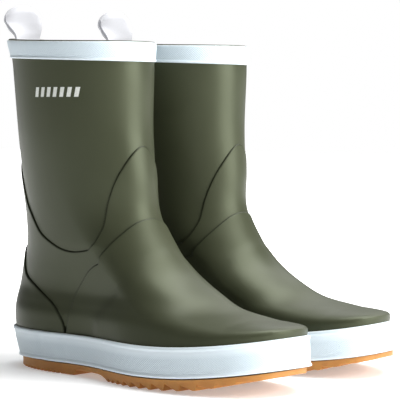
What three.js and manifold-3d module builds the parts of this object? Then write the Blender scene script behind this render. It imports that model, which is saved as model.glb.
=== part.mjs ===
// A pair of rubber deck boots, standing side by side with the toes turned a little outwards.
// Millimetres, +Z up. The toes point along -Y, the right boot stands at -X and the left one at +X.
//
// Every wall of a boot follows one surface, its form. The form is a loft of rounded sections, one
// per height, in the boot's own frame: x towards the outer side of the foot, y from heel to toe,
// z up from the ground. A layer is a shell between two depths below or above the form, and a
// panel is a layer cut along its seam, as a clicker cuts the sheet rubber.
import * as THREE from "three";
import { ParametricGeometry } from "three/addons/geometries/ParametricGeometry.js";
import { mergeVertices } from "three/addons/utils/BufferGeometryUtils.js";
import Module from "manifold-3d";

const wasm = await Module();
wasm.setup();

// ---- Driving dimensions ------------------------------------------------------------------------

const BOOT_SPACING = 129; // between the two boots' middles
const TOE_OUT = THREE.MathUtils.degToRad(4.2); // how far each boot's toe turns outwards
const MIDFOOT = 145; // y of the point each boot turns about

// The sections of the form. heel and toe are the ends of a section along y, outer and inner its
// half widths, middle the y where it is widest, and shift how far it leans to the outer side.
// heelPower and toePower round its corners: 2 is an ellipse, more is squarer.
const SECTION_MEASURES = [
  "z", "heel", "toe", "outer", "inner", "middle", "shift", "heelPower", "toePower",
];
const SECTIONS = [
  [10, 3, 292, 52, 50, 200, 0, 2.6, 2.35],
  [34, -12, 290.5, 52, 49.5, 198, -3, 2.6, 2.35],
  [42, -14.5, 288, 51.5, 49, 194, -4, 2.6, 2.35],
  [50, -15.5, 254, 50.5, 48.5, 184, -5, 2.6, 2.3],
  [58, -15.5, 223, 48, 46.5, 170, -6, 2.55, 2.2],
  [70, -13.5, 202, 45, 44.5, 148, -7.5, 2.5, 2.1],
  [88, -8.5, 174, 42.5, 42.5, 126, -6, 2.4, 2.05],
  [110, -2.5, 156, 41.5, 41.5, 102, -4.5, 2.3, 2],
  [135, -0.5, 142, 41.5, 40.5, 84, -3, 2.2, 2],
  [165, -1, 139.5, 43, 41.5, 74, -1, 2.1, 2],
  [205, -0.5, 135.5, 47, 46, 68, 1, 2.05, 2],
  [250, -1.5, 136, 51, 50, 64, 2, 2, 2],
  [264, -1.9, 135.8, 52.4, 51.4, 63.2, 2.2, 2, 2],
  [288, -6.5, 135, 55, 54, 61, 2.5, 2, 2],
].map((values) => Object.fromEntries(SECTION_MEASURES.map((name, k) => [name, values[k]])));
// The arch of the foot narrows the low sections, and the toe end swings to the inner side.
const ARCH = { y: 105, length: 50, share: 0.25, gone: 110 };
const TOE_SWING = { from: 150, length: 145, side: 12, gone: 125 };
const TOE_SPRING = { from: 170, length: 125, rise: 12 };

// A layer's rows climb the form. Each row is given at its front and at its back, so that the
// rows fan out over the top of the foot.
const ROWS_FRONT = [10, 34, 40, 45, 51, 60, 75, 96, 124, 156, 200, 261.5, 277.7];
const ROWS_BACK = [10, 34, 48, 62, 78, 94, 110, 126, 144, 170, 206, 266.8, 282.7];
const FOXING_ROW = 1; // the foxing strip's top edge
const SEAM_ROW = 10; // above every seam
const BAND_ROW = 11; // the rim band's lower edge
const RIM_ROW = 12; // the mouth
const RIM_DIP = 0.6; // the mouth is this much lower at the sides and higher at front and back
const AROUND = 28; // sides of a row

// Depths of the layers, from the upper's outer face. The upper itself sinks below the form
// where other layers lie over it, so that the outermost layer is the one on the form.
const SINK = { depth: 2.8, full: 88, none: 205 };
const GAP = 0.3; // between two layers
const UPPER = [-2, 0];
const LINING = [-3.4, -2.3];
const UNDERLAY = [GAP, 1.3];
const OVERLAY = [1.6, 2.8];
const FOXING = { inner: 3.1, outerLow: 4.8, outerHigh: 6.8 };
const BAND = [GAP, 1.7];
const TAB_PATCH = [-5.2, -3.7];

// Seams and hidden edges in side view, as points (y, z) from the back of the boot to the front.
const WING_TOP = [
  [-30, 190], [3, 187], [16, 163], [20, 144], [29, 131], [49, 113], [72, 105], [97, 104], [109, 108],
  [118, 121], [124, 148], [131, 174], [136, 188], [138, 193], [160, 194],
];
const WING_UNDER_COUNTER = [[-30, 92], [16, 68], [42, 57], [60, 45], [68, 30], [70, 0]];
const WING_UNDER_VAMP = [[86, 0], [87, 35], [92, 52], [110, 80], [130, 98], [160, 112]];
const COUNTER_TOP = [
  [-40, 108], [6, 105], [5, 90], [14, 78], [29, 73], [48, 65], [63, 57], [73, 48], [77.4, 40], [78.2, 0],
];
const VAMP_TOP = [
  [78.6, 0], [78.6, 40], [82, 53], [90, 67], [101, 79], [114, 90], [124, 101], [132, 116], [139, 127],
  [144, 132], [160, 134],
];
const FOREFOOT_EDGE = [[112, 0], [116, 47], [128, 60], [148, 82], [158, 103]];
const TOE_PUFF_EDGE = 250;
const CUT_FAR = 330; // cutting outlines reach this far past the toe

// The bottom, as flat layers inside the upper: lowest and highest z, and the inset of the edge.
const OUTSOLE_TOP = 8.6;
const MIDSOLE = { bottom: 8.9, top: 14.5, inset: 9.5 };
const INSOLE_BOARD = { bottom: 14.8, top: 17, inset: 9.5 };
const FOOTBED = { bottom: 17.3, top: 23, inset: 12 };
const SOLE_EDGE = 36; // sides of a bottom layer's outline
// Treads, cut from side to side: where each run starts and ends, its pitch and its depth.
const HEEL_TREAD = { from: 8, to: 92, pitch: 7, depth: 2.5 };
const FORE_TREAD = { from: 137, to: 281, pitch: 12, depth: 4.5 };
const SHANK_RISE = 4.5; // height of the sole's underside between heel and ball

// The pull tab: a loop of tape whose ends are fixed to a patch inside the back of the mouth. It
// leans back over the rim, and starts far enough above it to fold over either way.
const TAB = { width: 34, tape: 1.6, base: 286, height: 24.5, belly: 15, neck: 4.4, lean: 7, y: 0.9 };

// ---- The form ----------------------------------------------------------------------------------

const clamp = THREE.MathUtils.clamp;

// One measure of the sections at height z, on a smooth curve through their values.
function measure(name, z) {
  const last = SECTIONS.length - 1;
  const above = SECTIONS.findIndex((section) => section.z > z);
  const i = above < 0 ? last - 1 : Math.max(above - 1, 0);
  const slope = (k) => {
    const before = SECTIONS[Math.max(k - 1, 0)];
    const after = SECTIONS[Math.min(k + 1, last)];
    return (after[name] - before[name]) / (after.z - before.z);
  };
  const low = SECTIONS[i];
  const high = SECTIONS[i + 1];
  const h = high.z - low.z;
  const t = (z - low.z) / h;
  return (
    (2 * t ** 3 - 3 * t ** 2 + 1) * low[name] +
    (t ** 3 - 2 * t ** 2 + t) * h * slope(i) +
    (3 * t ** 2 - 2 * t ** 3) * high[name] +
    (t ** 3 - t ** 2) * h * slope(i + 1)
  );
}

const roundedPower = (value, power) => Math.sign(value) * Math.abs(value) ** (2 / power);

// How far the sole has curved up at y, towards the toe.
function toeSpring(y) {
  return TOE_SPRING.rise * clamp((y - TOE_SPRING.from) / TOE_SPRING.length, 0, 1.05) ** 2;
}

// The point of the form at height z, where angle 0 is the front and a quarter turn the outer side.
// grow widens the section on every side.
function formPoint(angle, z, grow = 0) {
  const power = measure(Math.cos(angle) >= 0 ? "toePower" : "heelPower", z);
  const along = roundedPower(Math.cos(angle), power);
  const across = roundedPower(Math.sin(angle), power);
  const middle = measure("middle", z);
  const reach = along >= 0 ? measure("toe", z) + grow - middle : middle - measure("heel", z) + grow;
  const y = middle + reach * along;
  const halfWidth = measure(across >= 0 ? "outer" : "inner", z);
  const archShare = ARCH.share * clamp((ARCH.gone - z) / (ARCH.gone - SECTIONS[1].z), 0, 1);
  const waist = 1 - archShare * Math.exp(-(((y - ARCH.y) / ARCH.length) ** 2));
  const swing = TOE_SWING.side * clamp((TOE_SWING.gone - z) / (TOE_SWING.gone - SECTIONS[1].z), 0, 1);
  const toeward = clamp((y - TOE_SWING.from) / TOE_SWING.length, 0, 1) ** 1.5;
  const x = (halfWidth * waist + grow) * across + measure("shift", z) - swing * toeward;
  return new THREE.Vector3(x, y, z + toeSpring(y));
}

// The form's outward direction at a point.
function formNormal(angle, z) {
  const turn = 0.02;
  const climb = 0.25;
  const low = Math.max(z - climb, SECTIONS[0].z);
  const around = formPoint(angle + turn, z).sub(formPoint(angle - turn, z));
  const up = formPoint(angle, z + climb).sub(formPoint(angle, low));
  return up.cross(around).normalize();
}

// A point of a layer: the form, less the sink, moved out by the depth.
function layerPoint(angle, z, depth) {
  const covered = 1 - THREE.MathUtils.smoothstep(z, SINK.full, SINK.none);
  return formPoint(angle, z).addScaledVector(formNormal(angle, z), depth - SINK.depth * covered);
}

// Height of a row at an angle.
function rowHeight(row, angle) {
  const frontShare = (1 + Math.cos(angle)) / 2;
  const dip = row === RIM_ROW ? RIM_DIP * Math.cos(2 * angle) : 0;
  return THREE.MathUtils.lerp(ROWS_BACK[row], ROWS_FRONT[row], frontShare) + dip;
}

// A layer all round the boot between two rows. insideAt and outsideAt give its two depths at a row.
function layerGeometry(insideAt, outsideAt, firstRow, lastRow) {
  const rows = lastRow - firstRow + 1;
  const loops = [];
  for (let row = firstRow; row <= lastRow; row++) loops.push({ row, depth: outsideAt(row) });
  for (let row = lastRow; row >= firstRow; row--) loops.push({ row, depth: insideAt(row) });
  const place = (u, v, target) => {
    const angle = -2 * Math.PI * (Math.round(u * AROUND) % AROUND) / AROUND;
    const { row, depth } = loops[Math.round(v * 2 * rows) % loops.length];
    target.copy(layerPoint(angle, rowHeight(row, angle), depth));
  };
  return matchDiagonals(new ParametricGeometry(place, AROUND, 2 * rows), rows);
}

// Splits each patch of a layer's inner face along the same diagonal as the patch outside it, so
// that two layers stay the same distance apart where their patches are twisted.
function matchDiagonals(geometry, rows) {
  const index = geometry.index;
  for (let loop = rows; loop < 2 * rows - 1; loop++) {
    for (let side = 0; side < AROUND; side++) {
      const a = loop * (AROUND + 1) + side;
      const b = a + 1;
      const d = a + AROUND + 1;
      const c = d + 1;
      index.array.set([a, b, c, a, c, d], 6 * (loop * AROUND + side));
    }
  }
  return geometry;
}

const layer = ([inside, outside], firstRow, lastRow) =>
  layerGeometry(() => inside, () => outside, firstRow, lastRow);

// ---- Cutting with manifold-3d ------------------------------------------------------------------

function toManifold(geometry) {
  const bare = geometry.clone();
  bare.deleteAttribute("normal");
  bare.deleteAttribute("uv");
  const merged = mergeVertices(bare, 1e-4);
  const mesh = new wasm.Mesh({
    numProp: 3,
    vertProperties: merged.attributes.position.array,
    triVerts: new Uint32Array(merged.index.array),
  });
  return new wasm.Manifold(mesh);
}

function toGeometry(manifold) {
  const mesh = manifold.getMesh();
  const geometry = new THREE.BufferGeometry();
  geometry.setAttribute("position", new THREE.BufferAttribute(mesh.vertProperties, 3));
  geometry.setIndex(new THREE.BufferAttribute(mesh.triVerts, 1));
  geometry.computeVertexNormals();
  return geometry;
}

const intersect = (a, b) => toGeometry(toManifold(a).intersect(toManifold(b)));

// A side-view outline (y, z) drawn out across the boot, for cutting and for the bottom layers.
function acrossBoot(outline, width = 160) {
  const shape = new THREE.Shape(outline.map(([y, z]) => new THREE.Vector2(y, z)));
  const geometry = new THREE.ExtrudeGeometry(shape, { depth: width, bevelEnabled: false });
  geometry.translate(0, 0, -width / 2);
  const axes = new THREE.Matrix4().makeBasis(
    new THREE.Vector3(0, 1, 0),
    new THREE.Vector3(0, 0, 1),
    new THREE.Vector3(1, 0, 0),
  );
  return geometry.applyMatrix4(axes);
}

// ---- Pieces of one boot ------------------------------------------------------------------------

function ankleWing() {
  const outline = [...WING_TOP, ...WING_UNDER_VAMP.toReversed(), ...WING_UNDER_COUNTER.toReversed()];
  return intersect(layer(UNDERLAY, 0, SEAM_ROW + 1), acrossBoot(outline));
}

function heelCounter() {
  return intersect(layer(OVERLAY, 0, SEAM_ROW), acrossBoot([...COUNTER_TOP, [-40, 0]]));
}

function vamp() {
  return intersect(layer(OVERLAY, 0, SEAM_ROW), acrossBoot([...VAMP_TOP, [CUT_FAR, 136], [CUT_FAR, 0]]));
}

function forefootLining() {
  const far = TOE_PUFF_EDGE - GAP;
  return intersect(layer(UNDERLAY, 0, SEAM_ROW), acrossBoot([...FOREFOOT_EDGE, [far, 103], [far, 0]]));
}

function toePuff() {
  const outline = [[TOE_PUFF_EDGE, 0], [TOE_PUFF_EDGE, 110], [CUT_FAR, 110], [CUT_FAR, 0]];
  return intersect(layer(UNDERLAY, 0, SEAM_ROW), acrossBoot(outline));
}

function foxing() {
  const outsideAt = (row) => (row === 0 ? FOXING.outerLow : FOXING.outerHigh);
  return layerGeometry(() => FOXING.inner, outsideAt, 0, FOXING_ROW);
}

// The outline of the sole seen from above, as a thick plate.
function soleBlank(inset) {
  const points = Array.from({ length: SOLE_EDGE }, (_, k) => {
    const point = formPoint((2 * Math.PI * k) / SOLE_EDGE, SECTIONS[0].z, -inset);
    return new THREE.Vector2(point.x, point.y);
  });
  const blank = new THREE.ExtrudeGeometry(new THREE.Shape(points), { depth: 60, bevelEnabled: false });
  return blank.translate(0, 0, -10);
}

// A line of points along the sole at height z, curving up with the toe.
function soleLine(z, from = -20, to = 310) {
  const steps = [from, TOE_SPRING.from, 195, 220, 245, 270, 290, to];
  return steps.map((y) => [y, z + toeSpring(y)]);
}

function bottomLayer({ bottom, top, inset }) {
  return intersect(soleBlank(inset), acrossBoot([...soleLine(bottom), ...soleLine(top).toReversed()]));
}

// The saw edge of one run of tread.
function treadLine({ from, to, pitch, depth }) {
  const points = [];
  for (let y = from; y < to; y += pitch) {
    points.push([y, 0], [y + pitch * 0.55, 0], [y + pitch * 0.8, depth]);
  }
  return points.map(([y, z]) => [y, z + toeSpring(y)]);
}

function outsole() {
  const underside = [
    [-20, 0],
    ...treadLine(HEEL_TREAD),
    [HEEL_TREAD.to + 1, SHANK_RISE],
    [FORE_TREAD.from - 3, SHANK_RISE],
    ...treadLine(FORE_TREAD),
    [310, toeSpring(310)],
  ];
  return intersect(soleBlank(0), acrossBoot([...underside, ...soleLine(OUTSOLE_TOP).toReversed()]));
}

function tabPatch() {
  const back = acrossBoot([[-20, 0], [30, 0], [30, 300], [-20, 300]], TAB.width);
  return intersect(layer(TAB_PATCH, BAND_ROW, RIM_ROW), back);
}

// A leaning, drop-shaped loop of tape in side view: a neck that widens into a round belly.
function loopOutline(inset) {
  const { base, height, belly, neck, lean } = TAB;
  const path = new THREE.Shape();
  const half = neck / 2 - inset;
  const wide = belly / 2 - inset;
  const low = base + inset;
  const high = base + height - inset;
  const middle = high - wide;
  const rise = 0.4 * (middle - low);
  path.moveTo(half, low);
  path.bezierCurveTo(half, low + rise, wide - lean, middle - rise, wide - lean, middle);
  path.absarc(-lean, middle, wide, 0, Math.PI);
  path.bezierCurveTo(-wide - lean, middle - rise, -half, low + rise, -half, low);
  return path.getPoints(6).map((point) => [point.x, point.y]);
}

function pullTab() {
  const solid = toManifold(acrossBoot(loopOutline(0), TAB.width));
  const hole = toManifold(acrossBoot(loopOutline(TAB.tape), TAB.width + 10));
  return toGeometry(solid.subtract(hole)).translate(0, TAB.y, 0);
}

// ---- Materials ---------------------------------------------------------------------------------

const finish = (color, roughness) => new THREE.MeshStandardMaterial({ color, roughness, metalness: 0 });

const olive = () => finish(0x4e5340, 0.5);
const paleBlue = () => finish(0xd4dfe6, 0.45);
const gum = () => finish(0xc4863e, 0.55);
const jersey = () => finish(0x6f6a55, 0.95);
const board = () => finish(0xb9a27c, 0.9);
const foam = () => finish(0x3b3d3a, 0.85);
const tape = () => finish(0xe9e8f0, 0.8);

// ---- The pair ----------------------------------------------------------------------------------

const PIECES = [
  ["outsole", outsole, gum],
  ["midsole", () => bottomLayer(MIDSOLE), foam],
  ["insole_board", () => bottomLayer(INSOLE_BOARD), board],
  ["footbed", () => bottomLayer(FOOTBED), foam],
  ["lining", () => layer(LINING, 0, RIM_ROW), jersey],
  ["upper", () => layer(UPPER, 0, RIM_ROW), olive],
  ["forefoot_underlay", forefootLining, olive],
  ["toe_puff", toePuff, olive],
  ["ankle_wing", ankleWing, olive],
  ["heel_counter", heelCounter, olive],
  ["vamp", vamp, olive],
  ["foxing", foxing, paleBlue],
  ["rim_band", () => layer(BAND, BAND_ROW, RIM_ROW), paleBlue],
  ["tab_patch", tabPatch, tape],
  ["pull_tab", pullTab, tape],
];

// One boot in its own frame, turned about the middle of the foot. The left boot is the right
// one's mirror image.
function boot(side, mirrored) {
  const pieces = new THREE.Group();
  for (const [name, geometryOf, materialOf] of PIECES) {
    const mesh = new THREE.Mesh(geometryOf(), materialOf());
    mesh.name = `${side}_${name}`;
    pieces.add(mesh);
  }
  pieces.position.y = -MIDFOOT;
  const turned = new THREE.Group().add(pieces);
  turned.scale.x = mirrored ? -1 : 1;
  turned.rotation.z = Math.PI + (mirrored ? TOE_OUT : -TOE_OUT);
  turned.position.x = (mirrored ? BOOT_SPACING : -BOOT_SPACING) / 2;
  return turned;
}

const pair = new THREE.Group().add(boot("right", false), boot("left", true));

// The pair stands on the ground, centred on its own footprint.
const size = new THREE.Box3().setFromObject(pair, true);
const centre = size.getCenter(new THREE.Vector3());
pair.position.set(-centre.x, -centre.y, -size.min.z);

export default pair;
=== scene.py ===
"""A pair of rubber deck boots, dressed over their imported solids.

Each boot is built from its own pieces: gum sole, foxing strip, leg, ankle wing, heel counter,
vamp, rim band, lining, footbed and pull tab. Every wall follows one surface, the form, in the
boot's own frame: millimetres, x to the outer side of the foot, y from heel to toe, z up. Angle 0
on the form is the front of the boot and +90 degrees its outer side.
"""

import logging
import math
from dataclasses import dataclass
from enum import Enum
from typing import Callable

import bpy
import numpy as np
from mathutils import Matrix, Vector


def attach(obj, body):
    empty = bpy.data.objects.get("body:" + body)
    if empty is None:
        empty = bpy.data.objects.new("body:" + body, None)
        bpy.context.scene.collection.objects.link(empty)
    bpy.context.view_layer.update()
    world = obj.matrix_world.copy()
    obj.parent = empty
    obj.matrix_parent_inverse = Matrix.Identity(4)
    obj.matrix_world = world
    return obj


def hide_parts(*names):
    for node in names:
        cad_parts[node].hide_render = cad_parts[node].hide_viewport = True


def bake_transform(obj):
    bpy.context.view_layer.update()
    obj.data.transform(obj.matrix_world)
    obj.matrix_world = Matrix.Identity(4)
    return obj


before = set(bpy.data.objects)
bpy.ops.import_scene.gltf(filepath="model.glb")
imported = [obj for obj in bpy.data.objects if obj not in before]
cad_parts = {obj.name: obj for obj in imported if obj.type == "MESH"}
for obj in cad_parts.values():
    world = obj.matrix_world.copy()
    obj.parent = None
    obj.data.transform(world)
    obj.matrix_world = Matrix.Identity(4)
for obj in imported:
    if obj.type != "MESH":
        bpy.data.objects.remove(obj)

log = logging.getLogger("deck_boots")

MM = 0.001
SEAM_PASSES = 24  # how often a seam's curve is smoothed
Points = np.ndarray
Colour = tuple[float, float, float]
Pairs = tuple[tuple[float, float], ...]
Triples = tuple[tuple[float, float, float], ...]
Piece = bpy.types.Object
Socket = bpy.types.NodeSocket


def smoothstep(value: Points, low: float, high: float) -> Points:
    """Rises smoothly from 0 at low to 1 at high."""
    share = np.clip((value - low) / (high - low), 0, 1)
    return share * share * (3 - 2 * share)


def distances(points: Points) -> Points:
    """Distances along a line of points, starting with 0."""
    steps = np.linalg.norm(np.diff(points, axis=0), axis=1)
    return np.concatenate([[0], np.cumsum(steps)])


def taken_at(even: Points, length: Points, curve: Points) -> Points:
    """Points of a curve of two coordinates at given distances along it."""
    return np.stack([np.interp(even, length, curve[:, k]) for k in (0, 1)], axis=-1)


# ---- The form ----------------------------------------------------------------------------------


class Form:
    """The loft that all walls of a boot follow."""

    MEASURES = ("z", "heel", "toe", "outer", "inner", "middle", "shift", "heel_power", "toe_power")
    SECTIONS = (
        (10, 3, 292, 52, 50, 200, 0, 2.6, 2.35),
        (34, -12, 290.5, 52, 49.5, 198, -3, 2.6, 2.35),
        (42, -14.5, 288, 51.5, 49, 194, -4, 2.6, 2.35),
        (50, -15.5, 254, 50.5, 48.5, 184, -5, 2.6, 2.3),
        (58, -15.5, 223, 48, 46.5, 170, -6, 2.55, 2.2),
        (70, -13.5, 202, 45, 44.5, 148, -7.5, 2.5, 2.1),
        (88, -8.5, 174, 42.5, 42.5, 126, -6, 2.4, 2.05),
        (110, -2.5, 156, 41.5, 41.5, 102, -4.5, 2.3, 2),
        (135, -0.5, 142, 41.5, 40.5, 84, -3, 2.2, 2),
        (165, -1, 139.5, 43, 41.5, 74, -1, 2.1, 2),
        (205, -0.5, 135.5, 47, 46, 68, 1, 2.05, 2),
        (250, -1.5, 136, 51, 50, 64, 2, 2, 2),
        (264, -1.9, 135.8, 52.4, 51.4, 63.2, 2.2, 2, 2),
        (288, -6.5, 135, 55, 54, 61, 2.5, 2, 2),
    )
    FOOT_TOP = 34.0  # the height where the arch and the toe's swing are at their fullest

    def __init__(self) -> None:
        """Reads the sections into one column per measure."""
        columns = np.array(self.SECTIONS, dtype=float).T
        self.table = dict(zip(self.MEASURES, columns))

    def measure(self, name: str, height: Points) -> Points:
        """One measure of the sections on a smooth curve through their values.

        Args:
            name: the measure's name.
            height: heights in millimetres.

        Returns:
            The measure at each height.
        """
        z = self.table["z"]
        values = self.table[name]
        slopes = np.empty_like(values)
        slopes[1:-1] = (values[2:] - values[:-2]) / (z[2:] - z[:-2])
        slopes[0] = (values[1] - values[0]) / (z[1] - z[0])
        slopes[-1] = (values[-1] - values[-2]) / (z[-1] - z[-2])
        low = np.clip(np.searchsorted(z, height, side="right") - 1, 0, len(z) - 2)
        step = z[low + 1] - z[low]
        t = (height - z[low]) / step
        return (
            (2 * t**3 - 3 * t**2 + 1) * values[low]
            + (t**3 - 2 * t**2 + t) * step * slopes[low]
            + (3 * t**2 - 2 * t**3) * values[low + 1]
            + (t**3 - t**2) * step * slopes[low + 1]
        )

    @staticmethod
    def toe_spring(y: Points) -> Points:
        """How far the sole has curved up at y, towards the toe."""
        return 12 * np.clip((y - 170) / 125, 0, 1.05) ** 2

    def point(self, angle: Points, z: Points, grow: float = 0.0) -> Points:
        """Points of the form.

        Args:
            angle: angles in radians.
            z: heights in millimetres.
            grow: how much wider the section is made on every side.

        Returns:
            One row of x, y, z for each angle.
        """
        angle, z = np.broadcast_arrays(np.asarray(angle, float), np.asarray(z, float))
        cosine, sine = np.cos(angle), np.sin(angle)
        power = np.where(cosine >= 0, self.measure("toe_power", z), self.measure("heel_power", z))
        along = np.sign(cosine) * np.abs(cosine) ** (2 / power)
        across = np.sign(sine) * np.abs(sine) ** (2 / power)
        middle = self.measure("middle", z)
        reach = np.where(
            along >= 0,
            self.measure("toe", z) + grow - middle,
            middle - self.measure("heel", z) + grow,
        )
        y = middle + reach * along
        half = np.where(across >= 0, self.measure("outer", z), self.measure("inner", z))
        arch = 0.25 * np.clip((110 - z) / (110 - self.FOOT_TOP), 0, 1)
        waist = 1 - arch * np.exp(-(((y - 105) / 50) ** 2))
        swing = 12 * np.clip((125 - z) / (125 - self.FOOT_TOP), 0, 1)
        toeward = np.clip((y - 150) / 145, 0, 1) ** 1.5
        x = (half * waist + grow) * across + self.measure("shift", z) - swing * toeward
        return np.stack([x, y, z + self.toe_spring(y)], axis=-1)

    def normal(self, angle: Points, z: Points) -> Points:
        """The form's outward directions at the given angles and heights."""
        around = self.point(angle + 0.02, z) - self.point(angle - 0.02, z)
        low = np.maximum(z - 0.25, self.table["z"][0])
        up = self.point(angle, z + 0.25) - self.point(angle, low)
        out = np.cross(up, around)
        return out / np.linalg.norm(out, axis=-1, keepdims=True)

    def layer(self, angle: Points, z: Points, depth: Points) -> Points:
        """Points of a layer, at a depth measured from the leg's outer face.

        Args:
            angle: angles in radians.
            z: heights in millimetres.
            depth: distance from the leg's outer face, outwards positive.

        Returns:
            One row of x, y, z for each angle. The leg sinks where other layers cover it.
        """
        angle, z, depth = np.broadcast_arrays(
            np.asarray(angle, float), np.asarray(z, float), np.asarray(depth, float)
        )
        sunk = 2.8 * (1 - smoothstep(z, 88, 205))
        return self.point(angle, z) + self.normal(angle, z) * (depth - sunk)[..., None]

    @staticmethod
    def rim(angle: Points) -> Points:
        """Height of the mouth at an angle."""
        return 280.2 - 2.5 * np.cos(angle) + 0.6 * np.cos(2 * np.asarray(angle, float))

    @staticmethod
    def band_foot(angle: Points) -> Points:
        """Height of the rim band's lower edge at an angle."""
        return 264.15 - 2.65 * np.cos(angle)


FORM = Form()


class BootSide(Enum):
    """Which foot a boot is for."""

    RIGHT = "right"
    LEFT = "left"

    @property
    def sign(self) -> int:
        """-1 where the boot stands on the left of the frame, +1 on its right."""
        return -1 if self is BootSide.RIGHT else 1

    def place(self, points: Points) -> Points:
        """Carries a boot's own points into the frame.

        Args:
            points: rows of x, y, z in millimetres, in the boot's own frame.

        Returns:
            The same rows in metres, in the frame of the pair.
        """
        turn = math.radians(4.2)
        x, y = -points[..., 0], -(points[..., 1] - 145)
        right_x = -64.5 + math.cos(turn) * x + math.sin(turn) * y
        right_y = -math.sin(turn) * x + math.cos(turn) * y - 4.8651
        return np.stack([-self.sign * right_x, right_y, points[..., 2]], axis=-1) * MM

    def name(self, piece: str) -> str:
        """A piece's name on this boot."""
        return f"{self.value}_{piece}"


# ---- Finishes ----------------------------------------------------------------------------------


class Nodes:
    """A short hand for wiring one material's nodes."""

    def __init__(self, name: str) -> None:
        """Starts a material with a Principled shader."""
        self.material = bpy.data.materials.new(name)
        self.material.use_nodes = True
        self.tree = self.material.node_tree
        self.shader = self.tree.nodes["Principled BSDF"]

    def add(self, kind: str, **settings: object) -> bpy.types.Node:
        """Adds a node.

        Args:
            kind: the node's type, such as ShaderNodeTexNoise.
            settings: properties of the node; a name that starts with in_ sets that input.

        Returns:
            The new node.
        """
        node = self.tree.nodes.new(kind)
        for key, value in settings.items():
            if key.startswith("in_"):
                node.inputs[key[3:].replace("_", " ")].default_value = value
            else:
                setattr(node, key, value)
        return node

    def link(self, source: Socket, target: Socket) -> None:
        """Joins two sockets."""
        self.tree.links.new(source, target)

    def object_coordinates(self) -> Socket:
        """The socket of Object coordinates."""
        return self.add("ShaderNodeTexCoord").outputs["Object"]

    def noise(self, scale: float, detail: float, rough: float = 0.5) -> Socket:
        """A noise on Object coordinates: its value socket."""
        node = self.add("ShaderNodeTexNoise", in_Scale=scale, in_Detail=detail, in_Roughness=rough)
        self.link(self.object_coordinates(), node.inputs["Vector"])
        return node.outputs["Fac"]

    def attribute(self, name: str) -> Socket:
        """A piece's own attribute: its value socket."""
        return self.add("ShaderNodeAttribute", attribute_name=name).outputs["Fac"]

    def remap(
        self,
        value: Socket,
        low: float,
        high: float,
        source: tuple[float, float] = (0, 1),
    ) -> Socket:
        """A value brought from the source range to low..high."""
        node = self.add("ShaderNodeMapRange")
        for socket, number in zip(node.inputs[1:5], (*source, low, high)):
            socket.default_value = number
        self.link(value, node.inputs[0])
        return node.outputs[0]

    def mix(
        self, share: Socket, first: Colour, second: Colour, socket: object = None
    ) -> Socket:
        """Two colours mixed by a value; socket replaces the first colour where given."""
        node = self.add("ShaderNodeMix", data_type="RGBA")
        node.inputs[6].default_value = (*first, 1)
        node.inputs[7].default_value = (*second, 1)
        if socket is not None:
            self.link(socket, node.inputs[6])
        self.link(share, node.inputs[0])
        return node.outputs[2]

    def math(self, operation: str, first: object, second: object = 0.0) -> Socket:
        """One Math node; first and second are sockets or numbers."""
        node = self.add("ShaderNodeMath", operation=operation)
        for socket, value in zip(node.inputs, (first, second)):
            if isinstance(value, (int, float)):
                socket.default_value = value
            else:
                self.link(value, socket)
        return node.outputs[0]

    def bump(
        self, height: Socket, distance: float, strength: float, under: object = None
    ) -> Socket:
        """A Bump node on top of another one: its normal socket."""
        node = self.add("ShaderNodeBump", in_Distance=distance, in_Strength=strength)
        self.link(height, node.inputs["Height"])
        if under is not None:
            self.link(under, node.inputs["Normal"])
        return node.outputs["Normal"]

    def set(self, **values: object) -> None:
        """Sets constants on the shader's own sockets; an underscore stands for a space."""
        for key, value in values.items():
            self.shader.inputs[key.replace("_", " ")].default_value = value

    def drive(self, name: str, socket: Socket) -> None:
        """Links a socket to one of the shader's inputs."""
        self.link(socket, self.shader.inputs[name])


@dataclass(frozen=True)
class OliveRubber:
    """Olive green sheet rubber with a satin skin, with painted shade darkening it along its seams.
    """

    slot: str = "olive_rubber"
    colour: Colour = (0.034, 0.038, 0.021)
    worn: Colour = (0.040, 0.044, 0.025)
    # painted shade: the dark colour laid along each seam
    seam: Colour = (0.008, 0.009, 0.005)

    def make(self) -> bpy.types.Material:
        """Builds the material."""
        n = Nodes(self.slot)
        cloud = n.noise(14.0, 3.0)
        colour = n.mix(n.remap(cloud, 0, 1, (0.35, 0.65)), self.colour, self.worn)
        # painted shade: the seam attribute darkens the colour along each seam
        colour = n.mix(n.attribute("seam"), self.colour, self.seam, colour)
        n.drive("Base Color", colour)
        n.drive("Roughness", n.remap(cloud, 0.40, 0.47, (0.35, 0.65)))
        n.set(IOR=1.52, Specular_IOR_Level=0.38, Specular_Tint=(0.90, 1.0, 0.70, 1.0))
        grain = n.bump(n.noise(2600.0, 2.0), 0.00003, 0.5)
        n.drive("Normal", n.bump(n.noise(60.0, 2.0), 0.0004, 0.25, grain))
        return n.material


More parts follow.
